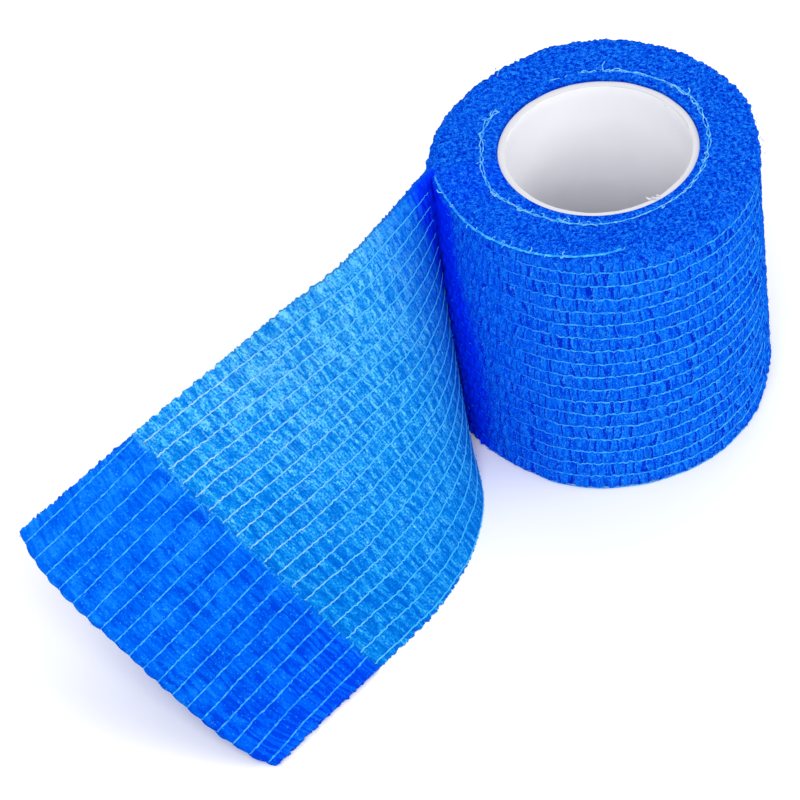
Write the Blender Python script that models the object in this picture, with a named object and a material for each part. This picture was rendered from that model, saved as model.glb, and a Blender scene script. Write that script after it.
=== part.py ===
# Cohesive bandage roll: one elastic strip, wound on a white core tube that stands on its end.
# The last of the strip leaves the roll, stands on its lower edge, leans back from the roll
# and is folded over on itself at the end. Metres, +Z up. All sizes below are in millimetres.

import math

import bpy
from mathutils import Vector

MM = 0.001

# The strip
STRIP_WIDTH = 50.0
SHEET = 1.0
THREAD_BANDS = 18          # puckered bands between the elastic threads, across the width
BAND_PUFF = 0.25           # how far a band stands proud of its threads

# The wound roll, which stands at this place with its axis upright
ROLL_X = 34.57
ROLL_Y = 24.68
ROLL_BASE_RADIUS = 26.6
ROLL_TOP_RADIUS = 26.0
ROLL_UNEVEN = 0.3          # three shallow lobes: the winding is not quite round
TOP_RIM_INSET = 0.5        # the upper rim is rounded over, the lower one is pressed flat
BASE_RIM_INSET = 0.2
RIM_HEIGHT = 0.6
ROLL_COLUMNS = 60
LEAVING_BASE = 186.0       # where the loose end leaves the roll, degrees anticlockwise from +X:
LEAVING_TOP = 181.5        # its upper edge leans outwards, so it peels off a little sooner
LAST_TURN_RISE = 80.0      # degrees over which the last turn rises by one sheet before it leaves

# The core tube
CORE_RADIUS = 15.6
CORE_WALL = 1.2
CORE_LENGTH = 49.6
CORE_CHAMFER = 0.25
CORE_SIDES = 60
SEAT_GAP = 0.3             # between the tube and the strip wound on it

# The loose end. Each row is a line across the strip: how far along it lies, where the lower
# edge stands, where the upper edge is, both from the roll's axis, and how far its middle is
# pushed towards the roll.
#   along  foot_x  foot_y   top_x   top_y  top_z  push
LOOSE_END = (
    (12.0, -25.2, -14.4, -33.9, -9.0, 48.8, 2.0),
    (24.0, -24.1, -25.9, -42.0, -15.9, 45.8, 1.0),
    (36.0, -26.1, -36.0, -51.8, -18.2, 39.9, 0.0),
    (50.0, -32.5, -46.9, -63.0, -20.9, 32.6, -0.3),
    (66.0, -42.8, -58.1, -76.2, -30.2, 29.7, -0.3),
    (78.0, -51.9, -66.9, -85.6, -38.9, 29.0, -0.3),
    (90.0, -60.7, -75.9, -95.5, -47.3, 27.8, -0.2),
)
LOOSE_STEPS = 21
FLOOR_TOUCH = 0.2          # a lower edge this near to the floor is flat on it
PROBE_ALONG = 0.5          # small steps that find the strip's heading and its slope across
PROBE_SHARE = 0.01

# The fold at the very end
FOLD_GAP = 0.35            # between the strip and the flap that lies on it
FOLD_BULGE = 2.7           # the fold line is round: its middle reaches further than its corners
FOLD_SQUARENESS = 3.5
FOLD_SCALLOP = 0.35        # and it dips at each thread
FOLD_TURNS = (-60.0, -20.0, 20.0, 60.0)
FLAP_LENGTH = 22.5
FLAP_STEPS = 6
STRETCH_START = 60.0       # the bulge is taken up from here on

CLOTH_COLOR = (0.010, 0.140, 0.860, 1.0)
CLOTH_ROUGHNESS = 0.75
CLOTH_SHARP_ANGLE = 50.0
CORE_COLOR = (0.80, 0.80, 0.84, 1.0)
CORE_ROUGHNESS = 0.45
CORE_SHARP_ANGLE = 30.0


def clear_scene():
    for item in list(bpy.data.objects):
        bpy.data.objects.remove(item, do_unlink=True)


def make_material(name, color, roughness):
    material = bpy.data.materials.new(name)
    material.use_nodes = True
    shader = material.node_tree.nodes["Principled BSDF"]
    shader.inputs["Base Color"].default_value = color
    shader.inputs["Roughness"].default_value = roughness
    shader.inputs["Metallic"].default_value = 0.0
    material.diffuse_color = color
    return material


def smoothstep(value):
    value = min(max(value, 0.0), 1.0)
    return value * value * (3.0 - 2.0 * value)


def strip_rows():
    """Lines along the strip: (share of the width, rim inset, whether it is a band's crest)."""
    rim = RIM_HEIGHT / STRIP_WIDTH
    rows = [(0.0, BASE_RIM_INSET, False), (rim, 0.0, False)]
    for line in range(1, 2 * THREAD_BANDS):
        rows.append((line / (2 * THREAD_BANDS), 0.0, line % 2 == 1))
    rows += [(1.0 - rim, 0.25 * TOP_RIM_INSET, False), (1.0, TOP_RIM_INSET, False)]
    return rows


# ---- the wound roll ----

def around(turned, share, radius):
    """A point so many degrees on from where the loose end leaves, this far from the axis."""
    angle = math.radians(turned + LEAVING_BASE + (LEAVING_TOP - LEAVING_BASE) * share)
    return Vector((radius * math.cos(angle), radius * math.sin(angle), STRIP_WIDTH * share))


def roll_point(turned, share, inset, crest):
    """A point of the roll's side."""
    radius = ROLL_BASE_RADIUS + (ROLL_TOP_RADIUS - ROLL_BASE_RADIUS) * share
    radius += SHEET * smoothstep((turned - (360.0 - LAST_TURN_RISE)) / LAST_TURN_RISE)
    radius += ROLL_UNEVEN * math.cos(math.radians(3.0 * turned))
    radius -= inset + (0.0 if crest else BAND_PUFF)
    return around(turned, share, radius)


def roll_column(turned):
    return [roll_point(turned, *row) for row in strip_rows()]


# ---- the loose end ----

def leaving_row():
    """The line where the strip leaves the roll, written as a row of LOOSE_END."""
    foot = roll_point(0.0, 0.0, 0.0, False)
    top = roll_point(0.0, 1.0, 0.0, False)
    return (0.0, foot.x, foot.y, top.x, top.y, top.z, 0.0)


def row_at(along):
    """Reads the rows of the loose end as smooth curves, straight on past the last row."""
    rows = [leaving_row()] + list(LOOSE_END)
    spans = [after[0] - before[0] for before, after in zip(rows, rows[1:])]
    slopes = [[(b - a) / span for a, b in zip(before[1:], after[1:])]
              for before, after, span in zip(rows, rows[1:], spans)]

    def tangent(index):
        if index == 0:
            return [2.0 * near - far for near, far in zip(slopes[0], tangent(1))]
        if index == len(rows) - 1:
            return slopes[-1]
        left, right = spans[index - 1], spans[index]
        return [(a * right + b * left) / (left + right)
                for a, b in zip(slopes[index - 1], slopes[index])]

    if along >= rows[-1][0]:
        return [value + slope * (along - rows[-1][0])
                for value, slope in zip(rows[-1][1:], slopes[-1])]
    index = max(i for i in range(len(spans)) if rows[i][0] <= along)
    span = spans[index]
    u = (along - rows[index][0]) / span
    start, end = tangent(index), tangent(index + 1)
    return [(2 * u**3 - 3 * u**2 + 1) * a + (u**3 - 2 * u**2 + u) * span * m
            + (3 * u**2 - 2 * u**3) * b + (u**3 - u**2) * span * n
            for a, b, m, n in zip(rows[index][1:], rows[index + 1][1:], start, end)]


def face_point(along, share):
    """The face of the loose end that looks towards the roll."""
    foot_x, foot_y, top_x, top_y, top_z, push = row_at(along)
    foot = Vector((foot_x, foot_y, 0.0))
    top = Vector((top_x, top_y, top_z))
    point = foot.lerp(top, share)
    ahead = row_at(along + PROBE_ALONG)
    heading = Vector((ahead[0] + ahead[2] - foot_x - top_x, ahead[1] + ahead[3] - foot_y - top_y,
                      ahead[4] - top_z))
    towards_roll = (top - foot).cross(heading).normalized()
    return point + towards_roll * (push * 4.0 * share * (1.0 - share))


def face_axes(along, share):
    """The strip's heading and the direction square to its face, towards the roll's side."""
    before, after = face_point(along - PROBE_ALONG, share), face_point(along + PROBE_ALONG, share)
    lower, upper = face_point(along, share - PROBE_SHARE), face_point(along, share + PROBE_SHARE)
    heading = (after - before).normalized()
    return heading, (upper - lower).cross(heading).normalized()


def end_reach(share, crest):
    """How far along the fold reaches on this line of the strip."""
    bulge = FOLD_BULGE * (1.0 - abs(2.0 * share - 1.0) ** FOLD_SQUARENESS)
    return LOOSE_END[-1][0] + bulge + (FOLD_SCALLOP if crest else 0.0)


def sheet_point(along, turn, distance, share, crest):
    """A point so far out from the middle of the fold's gap. A turn of -90 degrees is the strip
    itself, +90 the flap on it, and between them is the fold."""
    heading, square = face_axes(along, share)
    way = math.radians(turn)
    out = heading * math.cos(way) + square * math.sin(way)
    reach = distance + (BAND_PUFF if crest else 0.0)
    return face_point(along, share) + square * (FOLD_GAP / 2.0) + out * reach


def sheet_column(station, distance):
    """One line across the sheet, from its lower edge, trimmed to the floor, to its upper edge."""
    along, turn = station
    foot = sheet_point(along, turn, distance, 0.0, False)
    rise = sheet_point(along, turn, distance, 1.0, False).z - foot.z
    trim = max(-foot.z, 0.0) / rise
    fold_radius = SHEET + FOLD_GAP / 2.0
    column = []
    for share, _, crest in strip_rows():
        taken_up = smoothstep((along - STRETCH_START) / (LOOSE_END[-1][0] - STRETCH_START))
        reach = end_reach(share, crest) - fold_radius - LOOSE_END[-1][0]
        above_floor = trim + share * (1.0 - trim)
        column.append(sheet_point(along + reach * taken_up, turn, distance, above_floor, crest))
    if column[0].z < FLOOR_TOUCH:
        column[0].z = 0.0
    return column


def sheet_stations():
    """(along, turn) of each line across: out along the strip, round the fold, back on the flap."""
    length = LOOSE_END[-1][0]
    stations = [(length * step / LOOSE_STEPS, -90.0) for step in range(1, LOOSE_STEPS + 1)]
    stations += [(length, turn) for turn in FOLD_TURNS]
    stations += [(length - FLAP_LENGTH * step / FLAP_STEPS, 90.0)
                 for step in range(FLAP_STEPS + 1)]
    return stations


# ---- the solids ----

def make_object(name, points, faces, material, sharp_degrees):
    mesh = bpy.data.meshes.new(name)
    mesh.from_pydata([(p + Vector((ROLL_X, ROLL_Y, 0.0))) * MM for p in points], [], faces)
    mesh.validate()
    mesh.shade_smooth()
    mesh.set_sharp_from_angle(angle=math.radians(sharp_degrees))
    mesh.materials.append(material)
    made = bpy.data.objects.new(name, mesh)
    bpy.context.collection.objects.link(made)
    return made


def add_column(points, column):
    points.extend(column)
    return list(range(len(points) - len(column), len(points)))


def wall(faces, left, right):
    """Faces between two neighbouring columns, seen from outside with left on the left."""
    for low in range(len(left) - 1):
        faces.append((left[low], right[low], right[low + 1], left[low + 1]))


def lid(faces, outer, inner, next_outer, next_inner):
    """Closes the top and the bottom between an outer and an inner column and the next two."""
    faces.append((outer[-1], next_outer[-1], next_inner[-1], inner[-1]))
    faces.append((outer[0], inner[0], next_inner[0], next_outer[0]))


def build_bandage(material):
    points, faces = [], []

    # the roll's side runs anticlockwise from under the loose end to where it leaves
    side = [add_column(points, roll_column(360.0 * step / ROLL_COLUMNS))
            for step in range(ROLL_COLUMNS + 1)]
    for left, right in zip(side, side[1:]):
        wall(faces, left, right)

    # the hollow round the core tube, and the two end faces
    hollow_radius = CORE_RADIUS + SEAT_GAP
    hollow = []
    for step in range(ROLL_COLUMNS):
        turned = 360.0 * step / ROLL_COLUMNS
        hollow.append(add_column(points, [around(turned, share, hollow_radius)
                                          for share in (0.0, 1.0)]))
    for step in range(ROLL_COLUMNS):
        wall(faces, hollow[(step + 1) % ROLL_COLUMNS], hollow[step])
    for step in range(ROLL_COLUMNS - 1):
        lid(faces, side[step], hollow[step], side[step + 1], hollow[step + 1])
    last, leaving, under = side[-2], side[-1], side[0]
    lid(faces, last, hollow[-1], under, hollow[0])
    faces.append((last[-1], leaving[-1], under[-1]))
    faces.append((last[0], under[0], leaving[0]))

    # the loose end goes on from the last turn: its outer face, its inner face, its cut edge
    outer, inner = [leaving], [under]
    for station in sheet_stations():
        outer.append(add_column(points, sheet_column(station, SHEET + FOLD_GAP / 2.0)))
        inner.append(add_column(points, sheet_column(station, FOLD_GAP / 2.0)))
    for step in range(len(outer) - 1):
        wall(faces, outer[step], outer[step + 1])
        wall(faces, inner[step + 1], inner[step])
        lid(faces, outer[step], inner[step], outer[step + 1], inner[step + 1])
    wall(faces, outer[-1], inner[-1])

    return make_object("bandage", points, faces, material, CLOTH_SHARP_ANGLE)


def build_core_tube(material):
    """A thin plain tube with its rims just broken."""
    inside = CORE_RADIUS - CORE_WALL
    profile = (
        (CORE_RADIUS - CORE_CHAMFER, 0.0),
        (CORE_RADIUS, CORE_CHAMFER),
        (CORE_RADIUS, CORE_LENGTH - CORE_CHAMFER),
        (CORE_RADIUS - CORE_CHAMFER, CORE_LENGTH),
        (inside + CORE_CHAMFER, CORE_LENGTH),
        (inside, CORE_LENGTH - CORE_CHAMFER),
        (inside, CORE_CHAMFER),
        (inside + CORE_CHAMFER, 0.0),
    )
    points, faces, columns = [], [], []
    for step in range(CORE_SIDES):
        angle = 2.0 * math.pi * step / CORE_SIDES
        across = Vector((math.cos(angle), math.sin(angle), 0.0))
        columns.append(add_column(points, [across * r + Vector((0.0, 0.0, z))
                                           for r, z in profile]))
    for left, right in zip(columns, columns[1:] + columns[:1]):
        wall(faces, left + left[:1], right + right[:1])
    return make_object("core_tube", points, faces, material, CORE_SHARP_ANGLE)


def build():
    clear_scene()
    build_bandage(make_material("blue_cohesive_cloth", CLOTH_COLOR, CLOTH_ROUGHNESS))
    build_core_tube(make_material("white_core", CORE_COLOR, CORE_ROUGHNESS))


build()
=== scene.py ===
import math
import random

import bpy
from mathutils import Matrix, Vector, noise


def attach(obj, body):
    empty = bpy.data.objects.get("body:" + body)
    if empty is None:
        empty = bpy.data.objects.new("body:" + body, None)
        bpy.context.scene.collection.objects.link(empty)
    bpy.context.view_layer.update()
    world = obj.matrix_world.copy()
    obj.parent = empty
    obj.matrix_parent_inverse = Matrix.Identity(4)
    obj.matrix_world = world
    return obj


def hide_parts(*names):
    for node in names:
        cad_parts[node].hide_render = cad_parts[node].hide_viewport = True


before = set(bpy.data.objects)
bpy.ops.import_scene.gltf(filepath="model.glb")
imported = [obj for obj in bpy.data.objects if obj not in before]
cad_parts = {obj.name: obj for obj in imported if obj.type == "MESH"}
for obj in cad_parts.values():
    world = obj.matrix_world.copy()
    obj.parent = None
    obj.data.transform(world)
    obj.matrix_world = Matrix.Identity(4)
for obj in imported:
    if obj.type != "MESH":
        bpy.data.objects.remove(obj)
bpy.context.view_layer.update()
mm = 0.001          # every length below is in millimetres, and is made metres as it goes into a mesh
print("frame loaded, nodes:", sorted(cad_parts))

# the photo's view, the floor and the light
view = {
    "place": (-0.93, -464.6, 494.4),
    "tilt": 44.641,         # degrees up from straight down
    "roll": -6.722,
    "lens": 188.79,
}
studio = {
    "floorSize": 4,         # metres
    "floorColor": (0.93, 0.93, 0.935, 1),
    "skyColor": (1, 1, 1, 1),
    "skyStrength": 0.70,
    "softboxes": (          # name, place in metres, size, watts
        ("keySoftbox", (-0.1, -0.9, 1.15), 0.9, 11.5),
        ("fillSoftbox", (0.95, -0.25, 0.8), 0.9, 4),
        ("topSoftbox", (0.1, 0.75, 1.2), 1, 4),
    ),
}


def selectNothing():
    if bpy.context.object and bpy.context.object.mode != "OBJECT":
        bpy.ops.object.mode_set(mode="OBJECT")
    bpy.ops.object.select_all(action="DESELECT")


def setCamera():
    turn = Matrix.Rotation(math.radians(view["tilt"]), 4, "X")
    turn = turn @ Matrix.Rotation(math.radians(view["roll"]), 4, "Z")
    bpy.ops.object.camera_add(location=Vector(view["place"]) * mm, rotation=turn.to_euler())
    shown = bpy.context.object
    shown.name = "photoCamera"
    shown.data.lens = view["lens"]
    shown.data.sensor_width = 36
    shown.data.clip_start = 0.01
    bpy.context.scene.camera = shown


def setLights():
    world = bpy.data.worlds.new("softSky")
    world.use_nodes = True
    sky = world.node_tree.nodes["Background"]
    sky.inputs["Color"].default_value = studio["skyColor"]
    sky.inputs["Strength"].default_value = studio["skyStrength"]
    bpy.context.scene.world = world
    middle = Vector((0, 0, 0.02))
    for name, place, size, watts in studio["softboxes"]:
        aim = (middle - Vector(place)).to_track_quat("-Z", "Y").to_euler()
        bpy.ops.object.light_add(type="AREA", location=place, rotation=aim)
        lamp = bpy.context.object
        lamp.name = name
        lamp.data.shape = "DISK"
        lamp.data.size = size
        lamp.data.energy = watts
    bpy.context.scene.view_settings.view_transform = "Standard"


class Wire:
    # a socket of a material's node, on which sums can be written
    def __init__(self, finish, socket):
        self.finish = finish
        self.socket = socket

    def sum(self, operation, first, second):
        return self.finish.node("ShaderNodeMath", {"operation": operation}, {0: first, 1: second})

    def __add__(self, other):
        return self.sum("ADD", self, other)

    def __sub__(self, other):
        return self.sum("SUBTRACT", self, other)

    def __rsub__(self, other):
        return self.sum("SUBTRACT", other, self)

    def __mul__(self, other):
        return self.sum("MULTIPLY", self, other)

    def __abs__(self):
        return self.sum("ABSOLUTE", self, 0)

    def __floor__(self):
        return self.sum("FLOOR", self, 0)

    __radd__ = __add__
    __rmul__ = __mul__


class Finish:
    # one material, and the one way in which nodes are added to it
    def __init__(self, name):
        self.material = bpy.data.materials.new(name)
        self.material.use_nodes = True
        self.tree = self.material.node_tree
        self.shader = self.tree.nodes["Principled BSDF"]

    def put(self, socket, value):
        if isinstance(value, Wire):
            self.tree.links.new(value.socket, socket)
        else:
            socket.default_value = value

    def node(self, kind, settings=None, inputs=None, output=0):
        added = self.tree.nodes.new(kind)
        for name, value in (settings or {}).items():
            setattr(added, name, value)
        for name, value in (inputs or {}).items():
            self.put(added.inputs[name], value)
        return Wire(self, added.outputs[output])

    def paint(self, color, roughness=0.9, shine=0):
        sockets = self.shader.inputs
        self.put(sockets["Base Color"], color)
        sockets["Roughness"].default_value = roughness
        sockets["Specular IOR Level"].default_value = shine

    def attribute(self, name):
        return self.node("ShaderNodeAttribute", {"attribute_name": name}, output=2)

    def stripAxes(self):
        # centimetres along the unrolled strip, and bands across it
        strip = self.node("ShaderNodeUVMap", {"uv_map": "strip"})
        return [self.node("ShaderNodeSeparateXYZ", inputs={0: strip}, output=axis) for axis in (0, 1)]

    def onStrip(self, along, across):
        # places on the unrolled strip, so many times as close along it and across it
        strip = self.node("ShaderNodeUVMap", {"uv_map": "strip"})
        return self.node("ShaderNodeMapping", inputs={0: strip, 3: (along, across, 1)})

    def wrinkles(self, pitch, hold, seed):
        # short wrinkles across the strip, that stop at each elastic thread
        along, across = self.stripAxes()
        place = self.node("ShaderNodeCombineXYZ", inputs={
            0: along * pitch, 1: math.floor(across) * 4.73 + across * hold, 2: seed})
        return self.clouds(place, 2, 0.35)

    def cells(self, pitch, seed):
        # the puckered cells between two elastic threads: how far across its cell a place lies,
        # and how strong the crease is where the cell starts
        along, across = self.stripAxes()
        band = math.floor(across)
        place = self.node("ShaderNodeCombineXYZ", inputs={
            0: along * (0.7 * pitch), 1: band * 4.73 + across * 0.35, 2: seed})
        phase = along * pitch + band * 0.37 + self.clouds(place, 1) * 2
        crease = self.node("ShaderNodeCombineXYZ", inputs={
            0: math.floor(phase + 0.5) * 2.71, 1: band * 3.19, 2: seed})
        return phase - math.floor(phase), self.above(self.clouds(crease, 0), 0.30, 0.62)

    def inSpace(self, scale):
        place = self.node("ShaderNodeTexCoord", output=3)
        return self.node("ShaderNodeMapping", inputs={0: place, 3: (scale, scale, scale)})

    def clouds(self, place, detail=2, distortion=0):
        return self.node("ShaderNodeTexNoise", inputs={
            "Vector": place, "Scale": 1, "Detail": detail, "Roughness": 0.55, "Distortion": distortion})

    def above(self, value, low, high):
        # 0 below low, 1 above high, soft between
        return self.node("ShaderNodeMapRange", {"interpolation_type": "SMOOTHSTEP"},
                         {0: value, 1: low, 2: high, 3: 0, 4: 1})

    def line(self, value, width):
        # thin lines where the value passes its middle
        return 1 - self.above(abs(value - 0.5), 0, width)

    def ramp(self, value, stops):
        color = self.node("ShaderNodeValToRGB", inputs={0: value})
        elements = color.socket.node.color_ramp.elements
        while len(elements) < len(stops):
            elements.new(0.5)
        for element, (position, shade) in zip(elements, stops):
            element.position = position
            element.color = shade
        return color

    def mixed(self, share, first, second):
        return self.node("ShaderNodeMix", {"data_type": "RGBA"}, {0: share, 6: first, 7: second}, output=2)

    def bumped(self, height, strength, depth):
        self.put(self.shader.inputs["Normal"], self.node("ShaderNodeBump", inputs={
            "Height": height, "Strength": strength, "Distance": depth * mm}))


# colours are linear: painted shade in the deepest crease, cloth, painted light on a crest, and the painted
# glint of a bare fibre, partly its own paler colour
clothColors = {
    "rollSide": ((0, 0.022, 0.50, 1), (0, 0.085, 0.70, 1), (0.006, 0.22, 0.80, 1), (0.06, 0.44, 0.84, 1)),
    "cutEnd": ((0, 0.012, 0.40, 1), (0, 0.068, 0.63, 1), (0.008, 0.175, 0.72, 1), (0.06, 0.36, 0.78, 1)),
    # the single layer is painted lighter than two layers, as light shines through it
    "oneLayer": ((0, 0.10, 0.50, 1), (0.002, 0.20, 0.64, 1), (0.03, 0.36, 0.72, 1), (0.18, 0.58, 0.79, 1)),
    "doubled": ((0, 0.045, 0.54, 1), (0, 0.108, 0.68, 1), (0.006, 0.19, 0.75, 1), (0.07, 0.40, 0.82, 1)),
}
# the colour of painted shade, mixed in where the shade attribute says
paintedShadeColor = (0, 0.022, 0.86, 1)


def clothPalette(finish, tone, glint, palette):
    deep, cloth, crest, fibre = clothColors[palette]
    color = finish.ramp(tone, ((0, deep), (0.5, cloth), (1, crest)))
    return finish.mixed(glint, color, fibre)


def rollSide(finish, ridge):
    # the roll's side: rows of puckered cells, with painted shade in the crease between two and a painted
    # highlight on a light hairline beside it; crests are painted lighter, and fibres get painted glints
    across, strength = finish.cells(6.4, 3)
    middle = abs(across - 0.5)
    wrinkles = finish.wrinkles(11, 0.5, 3)
    fine = finish.wrinkles(25, 1.5, 8)
    grain = finish.clouds(finish.inSpace(3300), 1)
    crease = finish.above(middle + (fine - 0.5) * 0.35, 0.31, 0.47) * (strength * 0.75 + 0.1)
    creaseHighlight = finish.line(across + wrinkles * 0.25 + 0.22, 0.07) * strength
    creaseHighlight = creaseHighlight * finish.above(grain, 0.38, 0.58)
    tone = (ridge - 0.5) * 0.18 + (fine - 0.5) * 1.4 + (grain - 0.5) * 0.6 - crease
    tone = tone - finish.line(wrinkles + 0.07, 0.06) * 0.2 + creaseHighlight * 0.3 + 0.60
    glint = finish.line(fine, 0.05) * finish.above(grain, 0.46, 0.62) * 0.5 + creaseHighlight * 0.35
    return clothPalette(finish, tone, glint, "rollSide"), wrinkles + fine + grain - crease * 0.5


def woundCloth():
    finish = Finish("woundCohesiveCloth")
    ridge = finish.attribute("ridge")
    onEnd = finish.attribute("onEnd")
    side, sideHeight = rollSide(finish, ridge)
    # the cut end: densely packed fleece, with curls of lighter fibre in it; the pits between its loops are
    # painted in shade, and the curls carry painted glints
    curl = finish.line(finish.clouds(finish.inSpace(1150), 1, 1.5), 0.055)
    grains = finish.clouds(finish.inSpace(1900), 2, 0.8)
    flecks = finish.clouds(finish.inSpace(4300), 1)
    endTone = (ridge - 0.4) * 0.7 + (grains - 0.5) * 2 + (flecks - 0.5) * 1.2 + curl * 0.35 + 0.36
    endGlint = finish.above(curl * grains, 0.40, 0.62) * 0.55
    end = clothPalette(finish, endTone, endGlint, "cutEnd")
    # painted shade on the side beside the loose end, faint on the cut ends
    finish.paint(finish.mixed(finish.attribute("shade"), finish.mixed(onEnd, side, end), paintedShadeColor))
    finish.bumped(sideHeight * (1 - onEnd) + grains * onEnd, 0.7, 0.16)
    return finish.material


def looseCloth():
    finish = Finish("looseCohesiveCloth")
    ridge = finish.attribute("ridge")
    pale = finish.attribute("pale")
    patches = finish.clouds(finish.onStrip(2.2, 0.8))
    wrinkles = finish.wrinkles(11, 0.6, 5)
    fine = finish.wrinkles(27, 1.7, 9)
    grain = finish.clouds(finish.inSpace(2900), 1)
    # one layer: painted lighter by the pale attribute, as light shines through it, with smooth darker cells
    # between the threads, among rough fibres with painted glints where they catch the light
    across, strength = finish.cells(4.3, 2)
    spot = finish.above(0.5 - abs(across - 0.5) + (fine - 0.5) * 0.5, 0.20, 0.32) * (strength * 0.6 + 0.4)
    lean = (ridge - 0.5) * 0.3 + (pale - 0.5) * 0.4 + 0.3
    tone = (grain - 0.5) * 1.6 + (fine - 0.5) * 1.8 + finish.line(wrinkles, 0.06) * 0.25 + 0.31
    sparkle = grain * 0.55 + fine * 0.65 + pale * 0.2 + patches * 0.2
    glint = finish.above(sparkle, 0.80, 1.03) * (1 - spot * 0.85) * 0.8
    single = clothPalette(finish, lean + tone * (1 - spot * 0.55) - spot * 0.22, glint, "oneLayer")
    # two layers: deeper in colour, as less light shines through them, with painted shade in the creases
    # between the cells, most of all where painted shade lies, and a few painted glints
    shade = finish.attribute("shade")
    across, strength = finish.cells(9.2, 6)
    crease = finish.above(abs(across - 0.5) + (fine - 0.5) * 0.6, 0.22, 0.50)
    crease = crease * strength * (shade * 5 + 0.25)
    tone = (grain - 0.5) * 0.8 + (fine - 0.5) + (patches - 0.5) * 1.2 - crease
    tone = tone + (ridge - 0.5) * 0.35 + 0.26
    double = clothPalette(finish, lean + tone, finish.above(grain, 0.66, 0.78) * 0.45, "doubled")
    color = finish.mixed(finish.attribute("doubled"), single, double)
    color = finish.mixed(finish.attribute("nearRoll"), color, rollSide(finish, ridge)[0])
    # painted shade beside the roll and low on the flap
    finish.paint(finish.mixed(shade, color, paintedShadeColor))
    finish.bumped(wrinkles + fine + grain, 0.6, 0.14)
    return finish.material


# dull and bright colour of each kind of thread, and its colour in the painted shade; on the back threads
# that third colour is their colour near the roll instead
threadColors = {
    "rollThread": ((0.012, 0.24, 0.80, 1), (0.06, 0.42, 0.88, 1), (0, 0.14, 0.84, 1)),
    "looseThread": ((0.14, 0.46, 0.82, 1), (0.35, 0.61, 0.87, 1), (0.05, 0.44, 0.86, 1)),
    "backThread": ((0.06, 0.40, 0.84, 1), (0.26, 0.58, 0.88, 1), (0.025, 0.31, 0.84, 1)),
    "frayedThread": ((0.03, 0.34, 0.82, 1), (0.20, 0.56, 0.86, 1)),
    "clothFibre": ((0.002, 0.11, 0.72, 1), (0.02, 0.26, 0.82, 1)),
}


def threadFinish(name, dull, bright, shaded=None):
    finish = Finish(name)
    twist = finish.clouds(finish.inSpace(1300), 2)
    color = finish.mixed(finish.above(twist, 0.38, 0.62), dull, bright)
    if shaded:
        color = finish.mixed(finish.attribute("shade"), color, shaded)
    finish.paint(color, 0.7)
    return finish.material


def tubeFinish():
    finish = Finish("whiteCoreBoard")
    cloud = finish.clouds(finish.inSpace(90), 3)
    grain = finish.clouds(finish.inSpace(2200), 2)
    height = finish.node("ShaderNodeSeparateXYZ", inputs={0: finish.inSpace(1000)}, output=2)
    # painted shade: the board is painted darker deeper down inside the tube
    climb = finish.above(height + cloud * 6, 18, 48)
    wall = finish.mixed(climb, (0.55, 0.55, 0.61, 1), (0.93, 0.93, 0.97, 1))
    # painted shade: the sawn rim is painted grey, to hold back the light that falls on its top
    rimShade = finish.above(height, 49.42, 49.54)
    finish.paint(finish.mixed(rimShade, wall, (0.58, 0.585, 0.61, 1)), 0.55, 0.25)
    finish.bumped(grain, 0.15, 0.05)
    return finish.material


def floorFinish():
    finish = Finish("paleFloor")
    cloud = finish.clouds(finish.inSpace(6), 2)
    pale = studio["floorColor"]
    finish.paint(finish.mixed(cloud, pale, tuple(0.99 * c for c in pale)), 0.9, 0.1)
    return finish.material


# the strip, as it is wound and as it runs out
strip = {
    "width": 50,
    "bands": 18,            # puckered bands between the elastic threads
    "layer": 1,             # rise of the last turn on the roll
    "bandPuff": 0.25,
}
wound = {
    "x": 34.57,
    "y": 24.68,
    "baseRadius": 26.6,
    "topRadius": 26,
    "uneven": 0.3,
    "frill": 0.34,
    "endSink": 0.15,        # the cut ends lie this far in from the rims
    "leavingBase": 186,     # degrees, where the loose end leaves
    "leavingTop": 181.5,
    "lastTurnRise": 80,
    "boreRadius": 15.98,
    "topRound": 1.3,
    "baseRound": 0.5,
    "columns": 640,
    "rowsPerBand": 5,
    "topRings": 40,
    "baseRings": 10,
    "valley": (38, 26),     # degrees of the side in the shade of the loose end, below and above
    "valleyShade": 0.96,
    "dimOver": 90,          # degrees beyond it that are painted a little darker, in a fainter shade
    # degrees round the roll, and how far each rim stands out of round there
    "topShape": ((0, -0.5), (8, -0.35), (16, 0.1), (44, 0), (62, 0.3), (80, 0.5), (102, 0.6),
                 (114, 0), (130, -0.4), (150, -0.7), (171, -0.7), (180, 0), (330, 0),
                 (360, -0.5)),
    "baseShape": ((0, 0), (190, 0), (224, -0.1), (234, 0.1), (244, 0.6), (256, 0.6),
                  (272, 0.2), (288, -0.3), (304, -0.6), (316, -0.9), (345, -0.9), (360, 0)),
}
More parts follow.
